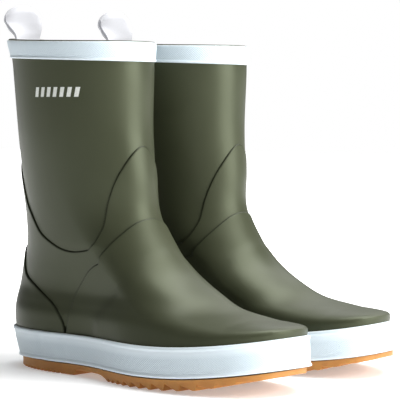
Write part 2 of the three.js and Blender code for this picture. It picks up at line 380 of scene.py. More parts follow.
@dataclass(frozen=True)
class PaleRubber:
    """Pale ice-blue rubber with a fine diagonal emboss where its hatch attribute is 1, with painted
    shade in the emboss's lines and along its seam rows.
    """

    slot: str = "pale_rubber"
    colour: Colour = (0.68, 0.77, 0.825)
    # painted shade in the recessed lines of the emboss
    groove_shade: Colour = (0.56, 0.66, 0.72)
    # painted shade along the seam rows, where the piece tucks against the leg
    edge: Colour = (0.60, 0.61, 0.52)
    pitch: float = 1.5  # millimetres between two lines of the emboss

    def make(self) -> bpy.types.Material:
        """Builds the material."""
        n = Nodes(self.slot)
        uv = n.add("ShaderNodeUVMap", uv_map="surface").outputs[0]
        waves = []
        for turn in (45, -45):
            mapping = n.add("ShaderNodeMapping")
            mapping.inputs["Rotation"].default_value[2] = math.radians(turn)
            n.link(uv, mapping.inputs["Vector"])
            wave = n.add("ShaderNodeTexWave", in_Scale=math.tau / 20 / self.pitch)
            n.link(mapping.outputs[0], wave.inputs["Vector"])
            waves.append(wave.outputs["Fac"])
        lines = n.math("MULTIPLY", waves[0], waves[1])
        hatch = n.math("MULTIPLY", n.math("SUBTRACT", 1.0, lines), n.attribute("hatch"))
        # painted shade: the emboss's lines are darkened
        colour = n.mix(hatch, self.colour, self.groove_shade)
        # painted shade: the seam attribute darkens the rows where the piece meets the leg
        n.drive("Base Color", n.mix(n.attribute("seam"), self.colour, self.edge, colour))
        n.drive("Roughness", n.remap(n.noise(30.0, 2.0), 0.42, 0.52, (0.3, 0.7)))
        n.set(IOR=1.5)
        emboss = n.bump(n.math("SUBTRACT", 1.0, hatch), 0.0004, 0.6)
        n.drive("Normal", n.bump(n.noise(70.0, 2.0), 0.0003, 0.3, emboss))
        return n.material


@dataclass(frozen=True)
class GumRubber:
    """Matt amber gum rubber, a little clear at its edges."""

    slot: str = "gum_rubber"
    colour: Colour = (0.52, 0.23, 0.045)
    dark: Colour = (0.38, 0.15, 0.025)

    def make(self) -> bpy.types.Material:
        """Builds the material."""
        n = Nodes(self.slot)
        cloud = n.remap(n.noise(45.0, 4.0), 0, 1, (0.3, 0.75))
        n.drive("Base Color", n.mix(cloud, self.colour, self.dark))
        n.drive("Roughness", n.remap(n.noise(160.0, 3.0), 0.5, 0.62))
        n.set(IOR=1.5, Subsurface_Weight=0.25, Subsurface_Scale=0.003)
        n.shader.inputs["Subsurface Radius"].default_value = (1.0, 0.45, 0.15)
        n.drive("Normal", n.bump(n.noise(1400.0, 2.0), 0.00008, 0.5))
        return n.material


@dataclass(frozen=True)
class Cloth:
    """A knitted or woven cloth that follows the piece's own UV map, in millimetres."""

    slot: str
    colour: Colour
    shade: Colour
    pitch: float  # millimetres between two ribs
    depth: float = 0.0002
    sheen: float = 0.3
    painted_glow: float = 0.0  # emission strength: painted light that brightens the tape's shaded sides

    def make(self) -> bpy.types.Material:
        """Builds the material."""
        n = Nodes(self.slot)
        uv = n.add("ShaderNodeUVMap", uv_map="surface").outputs[0]
        ribs = []
        for direction in ("X", "Y"):
            wave = n.add("ShaderNodeTexWave", bands_direction=direction)
            wave.inputs["Scale"].default_value = math.tau / 20 / self.pitch
            wave.inputs["Distortion"].default_value = 0.6
            n.link(uv, wave.inputs["Vector"])
            ribs.append(wave.outputs["Fac"])
        weave = n.math("MULTIPLY", ribs[0], ribs[1])
        n.drive("Base Color", n.mix(weave, self.shade, self.colour))
        n.set(Roughness=0.9, Sheen_Weight=self.sheen, Sheen_Roughness=0.5, Specular_IOR_Level=0.25)
        # painted light: the tape's emission brightens its shaded sides
        n.set(Emission_Color=(*self.colour, 1), Emission_Strength=self.painted_glow)
        n.drive("Normal", n.bump(weave, self.depth, 0.7))
        return n.material


@dataclass(frozen=True)
class Grained:
    """A plain grained stuff for hidden pieces and small marks, on Object coordinates."""

    slot: str
    colour: Colour
    shade: Colour
    rough: float = 0.85
    scale: float = 900.0

    def make(self) -> bpy.types.Material:
        """Builds the material."""
        n = Nodes(self.slot)
        grain = n.noise(self.scale, 3.0)
        n.drive("Base Color", n.mix(n.remap(grain, 0, 1, (0.35, 0.65)), self.colour, self.shade))
        n.set(Roughness=self.rough)
        n.drive("Normal", n.bump(grain, 0.0002, 0.5))
        return n.material


class Wardrobe:
    """Every finish of the boots, made once."""

    def __init__(self) -> None:
        """Makes the materials."""
        self.olive = OliveRubber().make()
        self.pale = PaleRubber().make()
        self.gum = GumRubber().make()
        self.jersey = Cloth(
            "jersey", (0.20, 0.185, 0.13), (0.09, 0.08, 0.055), 1.1, sheen=0.5
        ).make()
        # the tape's emission is painted light that brightens its shaded sides
        self.tape = Cloth(
            "tab_tape", (0.50, 0.505, 0.525), (0.45, 0.455, 0.48), 0.8, painted_glow=0.35
        ).make()
        self.knit = Cloth("footbed", (0.12, 0.12, 0.11), (0.05, 0.05, 0.05), 1.4).make()
        self.board = Grained("insole_board", (0.45, 0.35, 0.22), (0.34, 0.25, 0.15)).make()
        self.filler = Grained("filler_rubber", (0.05, 0.05, 0.05), (0.08, 0.08, 0.08)).make()
        self.print = Grained("printed_mark", (0.72, 0.74, 0.70), (0.62, 0.64, 0.60), 0.6).make()


# ---- Making meshes -----------------------------------------------------------------------------


@dataclass
class Patch:
    """What a shape gives for the vertices of a grid."""

    points: Points  # rows of x, y, z in metres
    surface: Points  # rows of u, v in millimetres along the piece
    seam: Points | None = None  # painted shade: 1 on a seam, falling to 0
    hatch: Points | None = None  # 1 where the emboss is


Shape = Callable[[Points, Points], Patch]


def start_clean() -> None:
    """Leaves nothing selected, so that an operator acts only on the next piece."""
    bpy.ops.object.select_all(action="DESELECT")


def shaped_grid(
    name: str, columns: int, rows: int, shape: Shape, ring: bool = False, tube: bool = False
) -> Piece:
    """Adds a grid and bends it to a shape.

    Args:
        name: the piece's name.
        columns: faces along the first direction.
        rows: faces along the second direction.
        shape: gives the place of each vertex from its column and row.
        ring: True where the last column meets the first.
        tube: True where the last row meets the first.

    Returns:
        The new object, at the origin.
    """
    start_clean()
    bpy.ops.mesh.primitive_grid_add(x_subdivisions=columns, y_subdivisions=rows, size=2)
    obj = bpy.context.active_object
    obj.name = obj.data.name = name
    mesh = obj.data
    flat = np.empty(len(mesh.vertices) * 3)
    mesh.vertices.foreach_get("co", flat)
    flat = flat.reshape(-1, 3)
    column = np.rint((flat[:, 0] + 1) / 2 * columns).astype(int)
    row = np.rint((flat[:, 1] + 1) / 2 * rows).astype(int)
    patch = shape(column, row)
    mesh.vertices.foreach_set("co", patch.points.astype(np.float32).ravel())
    corner = np.empty(len(mesh.loops), dtype=np.int32)
    mesh.loops.foreach_get("vertex_index", corner)
    layer = mesh.uv_layers[0]
    layer.name = "surface"
    layer.data.foreach_set("uv", patch.surface[corner].astype(np.float32).ravel())
    for key in ("seam", "hatch"):
        values = getattr(patch, key)
        if values is not None:
            attribute = mesh.attributes.new(key, "FLOAT", "POINT")
            attribute.data.foreach_set("value", values.astype(np.float32))
    mesh.update()
    if ring or tube:
        bpy.ops.object.mode_set(mode="EDIT")
        bpy.ops.mesh.select_all(action="SELECT")
        bpy.ops.mesh.remove_doubles(threshold=1e-6)
        bpy.ops.object.mode_set(mode="OBJECT")
    face_outwards(obj)
    return obj


def face_outwards(obj: Piece) -> None:
    """Makes all faces agree, and turns them over if they point into the piece.

    Args:
        obj: the piece, alone in its mesh.
    """
    bpy.ops.object.mode_set(mode="EDIT")
    bpy.ops.mesh.select_all(action="SELECT")
    bpy.ops.mesh.normals_make_consistent(inside=False)
    bpy.ops.object.mode_set(mode="OBJECT")
    centres = np.array([face.center for face in obj.data.polygons])
    normals = np.array([face.normal for face in obj.data.polygons])
    areas = np.array([face.area for face in obj.data.polygons])
    middle = (centres * areas[:, None]).sum(0) / areas.sum()
    if (np.einsum("ij,ij->i", normals, centres - middle) * areas).sum() < 0:
        bpy.ops.object.mode_set(mode="EDIT")
        bpy.ops.mesh.flip_normals()
        bpy.ops.object.mode_set(mode="OBJECT")


def apply(obj: Piece, kind: str, **settings: object) -> None:
    """Adds a modifier and applies it.

    Args:
        obj: the piece.
        kind: the modifier's type.
        settings: the modifier's properties.
    """
    bpy.context.view_layer.objects.active = obj
    modifier = obj.modifiers.new(kind.title(), kind)
    for key, value in settings.items():
        setattr(modifier, key, value)
    bpy.ops.object.modifier_apply(modifier=modifier.name)


def give_wall(obj: Piece, thickness: float, offset: float = -1.0) -> None:
    """Gives an open sheet its thickness, in millimetres, and closes its edge."""
    apply(obj, "SOLIDIFY", thickness=thickness * MM, offset=offset, use_rim=True)


def finish_piece(
    obj: Piece,
    side: BootSide,
    material: bpy.types.Material,
    nodes: tuple[str, ...] = (),
    angle: float = 45.0,
    rides: bool = True,
) -> None:
    """Gives a piece its material, its shading and its body.

    Args:
        obj: the piece.
        side: the boot that it is on.
        material: its finish.
        nodes: names of the CAD nodes that it stands for, without the side.
        angle: edges sharper than this many degrees stay sharp.
        rides: whether the whole piece moves with the boot.
    """
    start_clean()
    obj.select_set(True)
    bpy.context.view_layer.objects.active = obj
    bpy.ops.object.shade_smooth_by_angle(angle=math.radians(angle))
    obj.data.materials.clear()
    obj.data.materials.append(material)
    if rides:
        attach(obj, side.name("boot"))
    if nodes:
        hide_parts(*(side.name(node) for node in nodes))
    log.info("%s: %d faces", obj.name, len(obj.data.polygons))


# ---- Seams -------------------------------------------------------------------------------------


def curve_through(line: Points, steps: int) -> Points:
    """A smooth curve through all points of a line.

    Args:
        line: rows of two coordinates.
        steps: how many points each stretch gets.

    Returns:
        The curve's rows.
    """
    padded = np.vstack([2 * line[0] - line[1], line, 2 * line[-1] - line[-2]])
    t = np.linspace(0, 1, steps, endpoint=False)[:, None]
    parts = []
    for k in range(1, len(padded) - 2):
        a, b, c, d = padded[k - 1 : k + 3]
        square = (2 * a - 5 * b + 4 * c - d) * t**2
        cube = (3 * b - a - 3 * c + d) * t**3
        parts.append((2 * b + (c - a) * t + square + cube) / 2)
    return np.vstack([*parts, line[-1:]])


def evenly_curved(line: Points, rows: int) -> tuple[Points, Points]:
    """A smooth curve cut into equal stretches.

    Args:
        line: rows of two coordinates.
        rows: how many stretches.

    Returns:
        The points between the stretches, and their distances along the curve.
    """
    curve = curve_through(line, 8)
    length = distances(curve)
    even = np.linspace(0, length[-1], rows + 1)
    return taken_at(even, length, curve), even


def smooth_line(points: Points, count: int) -> Points:
    """A smooth curve through points of the form, evenly spaced on its surface.

    Args:
        points: rows of angle in degrees and height in millimetres.
        count: how many points to return.

    Returns:
        Rows of angle in radians and height.
    """
    line = np.array(points, dtype=float)
    line[:, 0] = np.radians(line[:, 0])
    curve = curve_through(line, 12)
    for _ in range(SEAM_PASSES):
        curve[1:-1] = (curve[:-2] + 2 * curve[1:-1] + curve[2:]) / 4
    length = distances(FORM.point(curve[:, 0], curve[:, 1]))
    return taken_at(np.linspace(0, length[-1], count), length, curve)


def step_inwards(line: Points, across: Points, distance: float) -> Points:
    """Moves points of the form over its surface, square to a line.

    Args:
        line: rows of angle and height.
        across: +1 or -1, which side of the line to go to.
        distance: millimetres to go.

    Returns:
        Rows of angle and height.
    """
    angle, z = line[:, 0], line[:, 1]
    here = FORM.point(angle, z)
    turn, rise = 0.01, 0.2
    by_angle = (FORM.point(angle + turn, z) - FORM.point(angle - turn, z)) / (2 * turn)
    by_height = (FORM.point(angle, z + rise) - FORM.point(angle, z - rise)) / (2 * rise)
    along = np.gradient(here, axis=0)
    along /= np.linalg.norm(along, axis=1, keepdims=True)
    normal = np.cross(by_height, by_angle)
    normal /= np.linalg.norm(normal, axis=1, keepdims=True)
    aim = np.cross(normal, along) * across * distance
    aa = np.einsum("ij,ij->i", by_angle, by_angle)
    ab = np.einsum("ij,ij->i", by_angle, by_height)
    bb = np.einsum("ij,ij->i", by_height, by_height)
    pa = np.einsum("ij,ij->i", by_angle, aim)
    pb = np.einsum("ij,ij->i", by_height, aim)
    det = aa * bb - ab**2
    return line + np.stack([(pa * bb - pb * ab) / det, (pb * aa - pa * ab) / det], axis=-1)


@dataclass
class Panel:
    """One sheet-rubber panel, laid over the form from a hidden foot up to its seam."""

    name: str
    seam: Points  # rows of angle in degrees and height, along the visible edge
    foot: tuple[float, float]  # angles of the hidden edge's two ends, in degrees
    foot_height: float
    depth: float  # of the panel's outer face
    under: float  # depth of the sheet that its edge comes down on
    relief: Callable[[Points], Points] | None = None  # extra depth from points in millimetres
    closed: bool = False  # the panel goes all round
    ribs: int = 260
    rows: int = 56
    thickness: float = 1.1
    edge: Pairs = (
        (0.0, -0.05), (0.12, 0.3), (0.35, 0.62), (0.75, 0.86), (1.3, 0.97),
        (2.0, 1.0), (3.0, 1.0), (4.5, 1.0),
    )  # distance from the seam in millimetres, and share of the step's height
    beyond: float = 6.5  # distance from the seam that counts for all rows past the edge
    relief_reach: float = 6.0  # distance from the seam at which the relief is full
    shade_width: float = 1.15  # of the painted shade line along the seam

    def build(self, side: BootSide) -> Piece:
        """Models the panel.

        Args:
            side: the boot that it is on.

        Returns:
            The closed piece.
        """
        seam = smooth_line(self.seam, self.ribs + 1)
        rings = [seam]
        walked = 0.0
        for distance, _ in self.edge[1:]:
            rings.append(step_inwards(rings[-1], 1.0, distance - walked))
            walked = distance
        inner = rings[-1]
        share = np.linspace(0, 1, self.ribs + 1)
        foot = np.stack(
            [
                np.radians(self.foot[0] + (self.foot[1] - self.foot[0]) * share),
                np.full(self.ribs + 1, self.foot_height),
            ],
            axis=-1,
        )
        t = np.linspace(0, 1, 160)
        fine = inner[:, None, :] + (foot - inner)[:, None, :] * t[None, :, None]
        space = FORM.point(fine[..., 0], fine[..., 1])
        length = np.cumsum(np.linalg.norm(np.diff(space, axis=1), axis=2), axis=1)
        length = np.concatenate([np.zeros((len(length), 1)), length], axis=1)
        grid = np.empty((self.ribs + 1, len(rings) + self.rows, 2))
        grid[:, : len(rings)] = np.stack(rings, axis=1)
        for rib in range(self.ribs + 1):
            even = np.linspace(0, length[rib, -1], self.rows + 1)[1:]
            for k in (0, 1):
                grid[rib, len(rings) :, k] = np.interp(even, length[rib], fine[rib, :, k])
        if self.closed:
            grid[-1] = grid[0] + [math.tau * np.sign(self.seam[-1][0] - self.seam[0][0]), 0]
        heights = np.ones(grid.shape[1])
        heights[: len(self.edge)] = [share for _, share in self.edge]
        depth = self.under + (self.depth - self.under) * heights[None, :]
        depth = np.broadcast_to(depth, grid.shape[:2]).copy()
        reach = np.full(grid.shape[1], self.beyond)
        reach[: len(self.edge)] = [distance for distance, _ in self.edge]
        if self.relief:
            bare = FORM.point(grid[..., 0], grid[..., 1])
            depth += self.relief(bare) * np.clip(reach / self.relief_reach, 0, 1)[None, :]
        points = FORM.layer(grid[..., 0], grid[..., 1], depth)
        # painted shade: a dark line along the seam, fading within shade_width of it
        shade = np.exp(-((reach / self.shade_width) ** 2))[None, :]
        shade = np.broadcast_to(shade, grid.shape[:2])

        def shape(column: Points, row: Points) -> Patch:
            """Looks the vertices up in the panel's own grid."""
            spot = points[column, row]
            surface = np.stack([spot[:, 1], spot[:, 2]], axis=-1)
            return Patch(side.place(spot), surface, seam=shade[column, row])

        name = side.name(self.name)
        obj = shaped_grid(name, self.ribs, grid.shape[1] - 1, shape, ring=self.closed)
        give_wall(obj, self.thickness)
        return obj


@dataclass
class Ring:
    """A piece that goes all round the boot with one closed outline."""

    name: str
    outline: Callable[[Points], tuple[Points, Points]]  # heights and depths at each angle
    columns: int = 240
    hatch: Points | None = None
    # painted shade for each row, darkest on the ring's seam rows
    seam: Points | None = None
    relief: Callable[[Points], Points] | None = None

    def build(self, side: BootSide) -> Piece:
        """Models the ring.

        Args:
            side: the boot that it is on.

        Returns:
            The closed piece.
        """
        angle = self.angles()
        height, depth = self.outline(angle)
        if self.relief:
            depth = depth + self.relief(FORM.point(angle[:, None], height))
        points = FORM.layer(angle[:, None], height, depth)
        points = np.concatenate([points, points[:, :1]], axis=1)
        around = distances(points[:, 0])
        up = distances(points[0])
        rows = points.shape[1] - 1

        def per_row(values: Points | None, row: Points) -> Points | None:
            """One value for each row of the outline."""
            return None if values is None else np.append(values, values[0])[row]

        def shape(column: Points, row: Points) -> Patch:
            """Looks the vertices up in the ring's own grid."""
            surface = np.stack([around[column], up[row]], axis=-1)
            return Patch(
                side.place(points[column, row]),
                surface,
                seam=per_row(self.seam, row),
                hatch=per_row(self.hatch, row),
            )

        return shaped_grid(side.name(self.name), self.columns, rows, shape, ring=True, tube=True)

    def angles(self) -> Points:
        """Angles of the columns, evenly spaced round the form 60 mm above the sole."""
        fine = np.linspace(-math.pi, math.pi, 4001)
        length = distances(FORM.point(fine, np.full(len(fine), 60.0)))
        angle = np.interp(np.linspace(0, length[-1], self.columns + 1), length, fine)
        angle[-1] = math.pi
        return angle


# ---- The pieces of a boot ----------------------------------------------------------------------


def mirrored(half: Pairs) -> Points:
    """A seam on both sides of the boot, from the inner side over the front to the outer side."""
    line = np.array(half, dtype=float)
    other = line[::-1].copy()
    other[:, 0] *= -1
    if line[0, 0] == 0:
        other = other[:-1]
    return np.vstack([other, line])


def signed_distance(points: Points, line: Pairs) -> Points:
    """Distance in side view from a line, positive on its toe side.

    Args:
        points: rows of x, y, z in millimetres.
        line: points y, z from the sole upwards.

    Returns:
        One distance for each point.
    """
    spot = points[..., 1:3]
    best = np.full(points.shape[:-1], 1e9)
    sign = np.ones_like(best)
    corners = np.array(line, dtype=float)
    for start, end in zip(corners[:-1], corners[1:]):
        run = end - start
        t = np.clip(((spot - start) @ run) / (run @ run), 0, 1)
        away = spot - (start + t[..., None] * run)
        distance = np.linalg.norm(away, axis=-1)
        side = np.sign(run[1] * away[..., 0] - run[0] * away[..., 1])
        closer = distance < best
        best = np.where(closer, distance, best)
        sign = np.where(closer, side, sign)
    return best * sign


@dataclass
class Overlays:
    """The ankle wing, the heel counter and the vamp."""

    wing_seam: Pairs = (
        (0, 191.8), (4, 191.4), (9, 189.2), (16, 184.6), (26, 175), (36, 163), (44, 148),
        (50, 136), (56, 127), (62, 122), (73, 114), (87, 107), (94, 104), (100, 103), (106, 105),
        (110, 108), (116, 113), (122, 119), (128, 131), (137, 144), (143, 163), (156, 178),
        (170, 186), (180, 188),
    )
    vamp_seam: Pairs = (
        (0, 132.2), (11.8, 131.2), (22.2, 128.8), (32.8, 124.6), (43.6, 119.4), (54.9, 113.8),
        (68.2, 106.8), (84.4, 99.4), (94.2, 91.0), (100.5, 81.8), (106, 72), (110.8, 62.4),
        (115, 49.8), (117.6, 40.4), (119.2, 31),
    )
    counter_seam: Pairs = (
        (119.5, 31), (119, 36), (118.5, 45), (120, 57), (126, 66), (134, 73), (142, 78), (148, 84),
        (153, 93), (159, 101), (168, 105), (180, 106.5),
    )
    underlay_edge: Pairs = (
        (112, 20), (116, 47), (128, 60), (138, 71), (148, 82), (152.5, 90), (158, 103), (166, 125),
    )
    ridge: float = 0.9  # how far the underlay's edge lifts the vamp
    crease: tuple[float, float, float] = (252.5, 4.0, 0.25)  # place, width and depth at the toe

    def vamp_relief(self, points: Points) -> Points:
        """The forefoot underlay's edge and the toe puff's step, seen through the vamp."""
        ahead = signed_distance(points, self.underlay_edge)
        ridge = self.ridge * smoothstep(ahead, -5, 6) * (1 - smoothstep(ahead, 8, 40))
        place, width, deep = self.crease
        crease = np.exp(-(((points[..., 1] - place) / width) ** 2))
        top = smoothstep(points[..., 2], 46, 54)
        return ridge - deep * crease * top

    def build(self, side: BootSide, wardrobe: Wardrobe) -> None:
        """Models the three panels and dresses them."""
        wing = Panel(
            "ankle_wing_sheet", mirrored(self.wing_seam), (-180, 180), 40, 1.3, 0.0,
            closed=True, ribs=380, rows=44,
        )
        vamp = Panel(
            "vamp_sheet", mirrored(self.vamp_seam), (-112, 112), 29, 2.8, 1.3,
            relief=self.vamp_relief, ribs=300, rows=66,
        )
        half = np.array(self.counter_seam, dtype=float)
        other = half[::-1][1:].copy()
        other[:, 0] = 360 - other[:, 0]
        counter = Panel(
            "heel_counter_sheet", np.vstack([half, other]), (128, 232), 29, 2.8, 1.3,
            ribs=180, rows=36,
        )
        for panel, node in ((wing, "ankle_wing"), (vamp, "vamp"), (counter, "heel_counter")):
            obj = panel.build(side)
            finish_piece(obj, side, wardrobe.olive, (node,))


@dataclass
class Leg:
    """The inner rubber shell of leg and foot, its lining and its rim band."""

    wall: float = 2.0
    lining_depth: tuple[float, float] = (-3.4, -2.3)
    rows: int = 60

    def tube(self, outside: float, inside: float, foot: float, top: float) -> Callable:
        """An outline from a foot height to the rim, between two depths.

        Args:
            outside: depth of the outer face.
            inside: depth of the inner face.
            foot: height of the lower edge.
            top: how far the upper edge stands above the rim.

        Returns:
            A function of the angles that gives heights and depths.
        """

        def outline(angle: Points) -> tuple[Points, Points]:
            """Heights and depths, up the outside and down the inside."""
            high = FORM.rim(angle)[:, None] + top
            share = np.linspace(0, 1, self.rows)[None, :]
            rise = foot + (high - foot) * share
            round_top = np.concatenate([high + 0.25, high + 0.25], axis=1)
            height = np.concatenate([rise, round_top, rise[:, ::-1]], axis=1)
            third = (outside - inside) / 4
            depth = np.concatenate(
                [
                    np.full(self.rows, outside),
                    [outside - third, inside + third],
                    np.full(self.rows, inside),
                ]
            )
            return height, np.broadcast_to(depth, height.shape)

        return outline

    def band_outline(self, angle: Points) -> tuple[Points, Points]:
        """The rim band: a bead along its foot, a flat face and a soft upper edge."""
        low = FORM.band_foot(angle)[:, None]
        high = FORM.rim(angle)[:, None] - 0.6
        profile = (
            (0.3, 0.05), (-0.1, 0.4), (-0.1, 0.9), (0.2, 1.35), (0.8, 1.6), (1.4, 1.55), (1.8, 1.3),
            (2.1, 1.1), (3.0, 1.1), (5.0, 1.3), (8.0, 1.5), (11.0, 1.7),
        )
        up = np.array([rise for rise, _ in profile])[None, :] + low
        down = high + np.array([-1.6, -0.7, -0.2, 0.0, -0.3])[None, :]
        depth = [depth for _, depth in profile] + [1.7, 1.6, 1.25, 0.6, 0.05]
        height = np.concatenate([up, down], axis=1)
        return height, np.broadcast_to(np.array(depth), height.shape)

    def build(self, side: BootSide, wardrobe: Wardrobe) -> None:
        """Models the leg, the lining and the band, and dresses them."""
        leg = Ring("leg_shell", self.tube(0.0, -self.wall, 14.0, 0.0), columns=200).build(side)
        finish_piece(leg, side, wardrobe.olive, ("upper",))
        outer, inner = self.lining_depth[1], self.lining_depth[0]
        lining = Ring("lining_sock", self.tube(outer, inner, 12.0, -0.4), columns=160).build(side)
        finish_piece(lining, side, wardrobe.jersey, ("lining",))
        self.declare_lining(lining)
        hatch = np.array([0] * 7 + [0.6] + [1] * 5 + [0.5] + [0] * 3, dtype=float)
        # painted shade under the band's bead and along its top edge
        seam = np.array([1, 1] + [0] * 11 + [0, 0.2, 0.6, 0.8], dtype=float)
        band = Ring("rim_binding", self.band_outline, 200, hatch, seam).build(side)
        finish_piece(band, side, wardrobe.pale, ("rim_band",))

    @staticmethod
    def declare_lining(lining: Piece) -> None:
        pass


@dataclass
class Foxing:
    """The pale strip that joins the upper to the sole."""

    profile: Triples = (
        (10.4, 3.0, 0), (9.8, 4.0, 0), (9.9, 5.0, 0), (10.4, 5.6, 0), (11.2, 5.75, 0),
        (12.0, 5.5, 0), (12.6, 5.05, 0), (13.4, 4.95, 0.8), (16.0, 5.15, 1), (19.0, 5.4, 1),
        (22.0, 5.65, 1),
        (24.5, 5.9, 1), (26.5, 6.05, 0.5), (28.5, 6.2, 0), (30.0, 6.3, 0), (30.7, 6.4, 0),
        (31.3, 6.85, 0), (32.2, 7.15, 0), (33.2, 7.05, 0), (33.9, 6.5, 0), (34.2, 5.6, 0),
        (34.2, 4.4, 0), (33.9, 3.0, 0), (22.0, 2.95, 0),
    )  # height, depth and emboss
    folds_at: Triples = (
        (50.0, 0.8, 4.0), (78.0, 0.55, 5.0),
    )  # y, share of the depth, and width
    fold_depth: float = 1.6
    heel_lean: tuple[float, float] = (2.4, 3.8)  # extra depth at the foot, and its loss to the top
    toe_lean: tuple[float, float] = (3.0, 3.7)

    def outline(self, angle: Points) -> tuple[Points, Points]:
        """Heights and depths of the strip's outline."""
        values = np.array(self.profile)
        shape = (len(angle), len(values))
        return np.broadcast_to(values[:, 0], shape), np.broadcast_to(values[:, 1], shape)

    def folds(self, points: Points) -> Points:
        """Two soft upright folds behind the waist, and the strip's lean round heel and toe."""
        y, z = points[..., 1], points[..., 2]
        depth = np.zeros_like(y)
        for place, deep, wide in self.folds_at:
            lean = place + (34 - z) * 0.15
            depth -= self.fold_depth * deep * np.exp(-(((y - lean) / wide) ** 2))
        climb = (z - 10) / 24
        heel, toe = 1 - smoothstep(y, 0, 50), smoothstep(y, 245, 286)
        for near, (low, loss) in ((heel, self.heel_lean), (toe, self.toe_lean)):
            depth = depth + near * (low - loss * climb)
        return depth

    def build(self, side: BootSide, wardrobe: Wardrobe) -> None:
        """Models the strip and dresses it."""
        hatch = np.array([row[2] for row in self.profile])
        seam = np.zeros(len(self.profile))
        # painted shade along the strip's top inner edge, against the leg
        seam[-4:-1] = (0.35, 1, 1)
        ring = Ring("foxing_strip", self.outline, 300, hatch, seam, self.folds)
        finish_piece(ring.build(side), side, wardrobe.pale, ("foxing",))


@dataclass
class Outsole:
    """The gum sole: a flat plate with fine teeth under the heel and saw teeth under the ball."""

    top: float = 8.8
    shank: float = 4.5  # height of the raised middle
    ends: tuple[float, float] = (3.0, 292.0)  # y of the heel's end and of the toe's end
    toe_thinning: float = 4.2  # how far the underside rises at the toe
    heel_reach: float = 2.5  # how far the heel's end stands back from the form
    heel_teeth: tuple[float, float, float, float] = (22.0, 74.0, 5.2, 1.7)  # y, y, pitch, depth
    ball_teeth: tuple[float, float, float, float] = (133.0, 272.0, 6.0, 1.13)  # y, y, pitch, growth
    ball_depth: float = 0.34  # share of the pitch
    toe_shallower: float = 0.6  # share of the depth that the last teeth lose
    longest_pitch: float = 15.0

    @staticmethod
    def tooth(y: float, pitch: float, profile: Pairs) -> list:
        """Corners y, z of one tooth; profile gives shares of the pitch, and heights."""
        return [(y + pitch * share, height) for share, height in profile]

    def underside(self) -> Points:
        """Corners y, z of the sole's underside, from heel to toe."""
        line = [(3.2, 2.2), (4.0, 1.0), (6.0, 0.15), (9.0, 0.0)]
        start, end, pitch, deep = self.heel_teeth
        y = start
        while y < end:
            line += self.tooth(y, pitch, ((0, 0.0), (0.5, 0.0), (0.62, deep), (0.95, deep)))
            y += pitch
        line += [(end + 1, 0.0), (90.0, 0.0), (92.5, self.shank - 0.6), (95.0, self.shank)]
        line += [(120.0, self.shank), (126.0, self.shank - 0.4)]
        start, end, pitch, growth = self.ball_teeth
        y = start
        while y < end:
            deep = self.ball_depth * pitch * (1 - self.toe_shallower * smoothstep(y, 205, 265))
            line += self.tooth(y, pitch, ((0, deep), (0.70, 0.0), (0.88, 0.0), (0.96, deep)))
            y += pitch
            pitch = min(pitch * growth, self.longest_pitch)
        line += [(y + 1, 0.0), (289.0, 0.3), (291.0, 1.4), (291.8, 3.0)]
        return np.array(line)

    def half_widths(self, y: Points) -> tuple[Points, Points]:
        """The sole's inner and outer edges at y.

        Args:
            y: places along the sole.

        Returns:
            x of the inner edge and of the outer edge.
        """
        angle = np.linspace(0, math.pi, 1500)
        edges = []
        for side in (-1, 1):
            edge = FORM.point(side * angle, np.full(len(angle), 10.0))[::-1]
            edges.append(np.interp(y, edge[:, 1], edge[:, 0]))
        return edges[0], edges[1]

    def build(self, side: BootSide, wardrobe: Wardrobe) -> None:
        """Models the sole from cross sections and dresses it."""
        corners = self.underside()
        heel, toe = self.ends
        heels = heel + 60 * (1 - np.cos(np.linspace(0.06, 1.2, 26)))
        toes = toe - 60 * (1 - np.cos(np.linspace(0.06, 1.2, 30)))
        y = np.unique(np.concatenate([corners[:, 0], heels, toes, np.arange(8, 288, 4.0)]))
        y = np.clip(y, heel + 0.05, toe - 0.05)
        y = y[np.concatenate([[True], np.diff(y) > 0.08])]
        low = np.interp(y, corners[:, 0], corners[:, 1])
        inner, outer = self.half_widths(y)
        count = 12
        sections = []
        for k in range(len(y)):
            width = outer[k] - inner[k]
            soft = min(0.8, width * 0.2)
            bottom = np.linspace(inner[k] + soft, outer[k] - soft, count)
            x = np.concatenate([[inner[k], inner[k]], bottom, [outer[k], outer[k]], bottom[::-1]])
            z = np.concatenate(
                [
                    [self.top, low[k] + soft], np.full(count, low[k]),
                    [low[k] + soft, self.top], np.full(count, self.top),
                ]
            )
            thinner = self.toe_thinning * smoothstep(y[k], 228, 290) * (1 - z / self.top)
            lift = FORM.toe_spring(y[k]) + thinner
            back = self.heel_reach * (1 - smoothstep(y[k], 3, 60))
            sections.append(np.stack([x, np.full(len(x), y[k] - back), z + lift], axis=-1))
        points = np.array(sections)
        points = np.concatenate([points, points[:, :1]], axis=1)

        def shape(column: Points, row: Points) -> Patch:
            """Looks the vertices up in the sole's own sections."""
            spot = points[column, row]
            return Patch(side.place(spot), spot[:, :2])

        name = side.name("gum_outsole")
        obj = shaped_grid(name, len(y) - 1, points.shape[1] - 1, shape, tube=True)
        bpy.ops.object.mode_set(mode="EDIT")
        bpy.ops.mesh.select_all(action="DESELECT")
        bpy.ops.mesh.select_non_manifold(extend=False)
        bpy.ops.mesh.fill_holes(sides=0)
        bpy.ops.object.mode_set(mode="OBJECT")
        face_outwards(obj)
        finish_piece(obj, side, wardrobe.gum, ("outsole",), angle=25)


